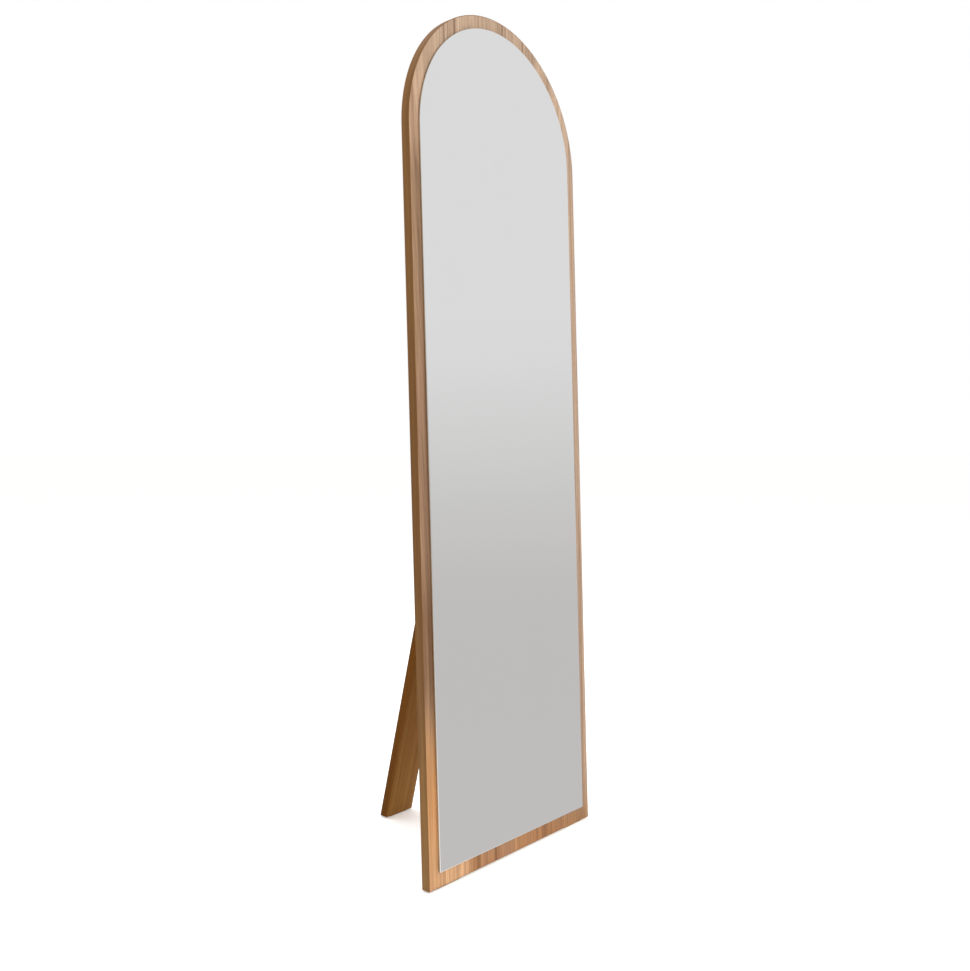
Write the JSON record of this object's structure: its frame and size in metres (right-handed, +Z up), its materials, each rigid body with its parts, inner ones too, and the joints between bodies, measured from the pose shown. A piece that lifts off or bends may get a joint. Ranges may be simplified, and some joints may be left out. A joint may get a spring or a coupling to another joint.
{
  "type": "arched floor mirror",
  "caption": "Tall arched full-length mirror on a wood-grain board, held up by a folding easel leg with a slotted stay.",
  "frame": {"origin": "on the floor, under the middle of the whole object's box", "axes": "+Z up, the mirror faces -Y, the leg is on the +Y side, +X to the right as seen by someone facing the mirror"},
  "size_m": [0.5, 0.3372, 1.6019],
  "materials": {
    "wood_face": "satin wood-grain face with vertical figure",
    "wood_edge": "satin edge banding with the grain along the strip",
    "mirror": "silvered float glass with ground edges",
    "foam_tape": "white closed-cell foam tape",
    "zinc_plate": "zinc-plated pressed steel",
    "steel_fastener": "zinc-plated steel fastener",
    "felt": "beige pressed felt"
  },
  "bodies": {
    "panel": {"panel_board": "wood_face", "panel_side_and_arch_band": "wood_edge", "panel_bottom_band": "wood_edge", "mirror_tape_1": "foam_tape", "mirror_tape_2": "foam_tape", "mirror_tape_3": "foam_tape", "mirror_tape_4": "foam_tape", "mirror_glass": "mirror", "panel_foot_pad_left": "felt", "panel_foot_pad_right": "felt", "hinge_left_panel_leaf": "zinc_plate", "hinge_left_pin": "steel_fastener", "hinge_left_panel_screw_outer": "steel_fastener", "hinge_left_panel_screw_inner": "steel_fastener", "hinge_right_panel_leaf": "zinc_plate", "hinge_right_pin": "steel_fastener", "hinge_right_panel_screw_outer": "steel_fastener", "hinge_right_panel_screw_inner": "steel_fastener", "stay_bracket": "zinc_plate", "stay_bracket_screw_upper": "steel_fastener", "stay_bracket_screw_lower": "steel_fastener", "stay_rivet": "steel_fastener"},
    "leg": {"leg_board": "wood_face", "leg_edge_band": "wood_edge", "leg_foot_pad": "felt", "stay_stud": "steel_fastener", "stay_washer": "zinc_plate", "hinge_left_leg_leaf": "zinc_plate", "hinge_left_leg_screw_outer": "steel_fastener", "hinge_left_leg_screw_inner": "steel_fastener", "hinge_right_leg_leaf": "zinc_plate", "hinge_right_leg_screw_outer": "steel_fastener", "hinge_right_leg_screw_inner": "steel_fastener"},
    "stay": {"stay_bar": "zinc_plate"}
  },
  "joints": [
    {"name": "leg_fold", "type": "hinge", "parent": "panel", "child": "leg", "pos_m": [0, -0.10502, 1.08148], "axis": [-1, 0, 0], "range_deg": [0, 15.5]},
    {"name": "stay_swing", "type": "hinge", "parent": "panel", "child": "stay", "pos_m": [0.04285, -0.10392, 0.93134], "axis": [-1, 0, 0], "range_deg": [0, 20.6]}
  ],
  "couplings": [
    {"joint": "stay_swing", "follows": "leg_fold", "ratio": 1.3277}
  ]
}
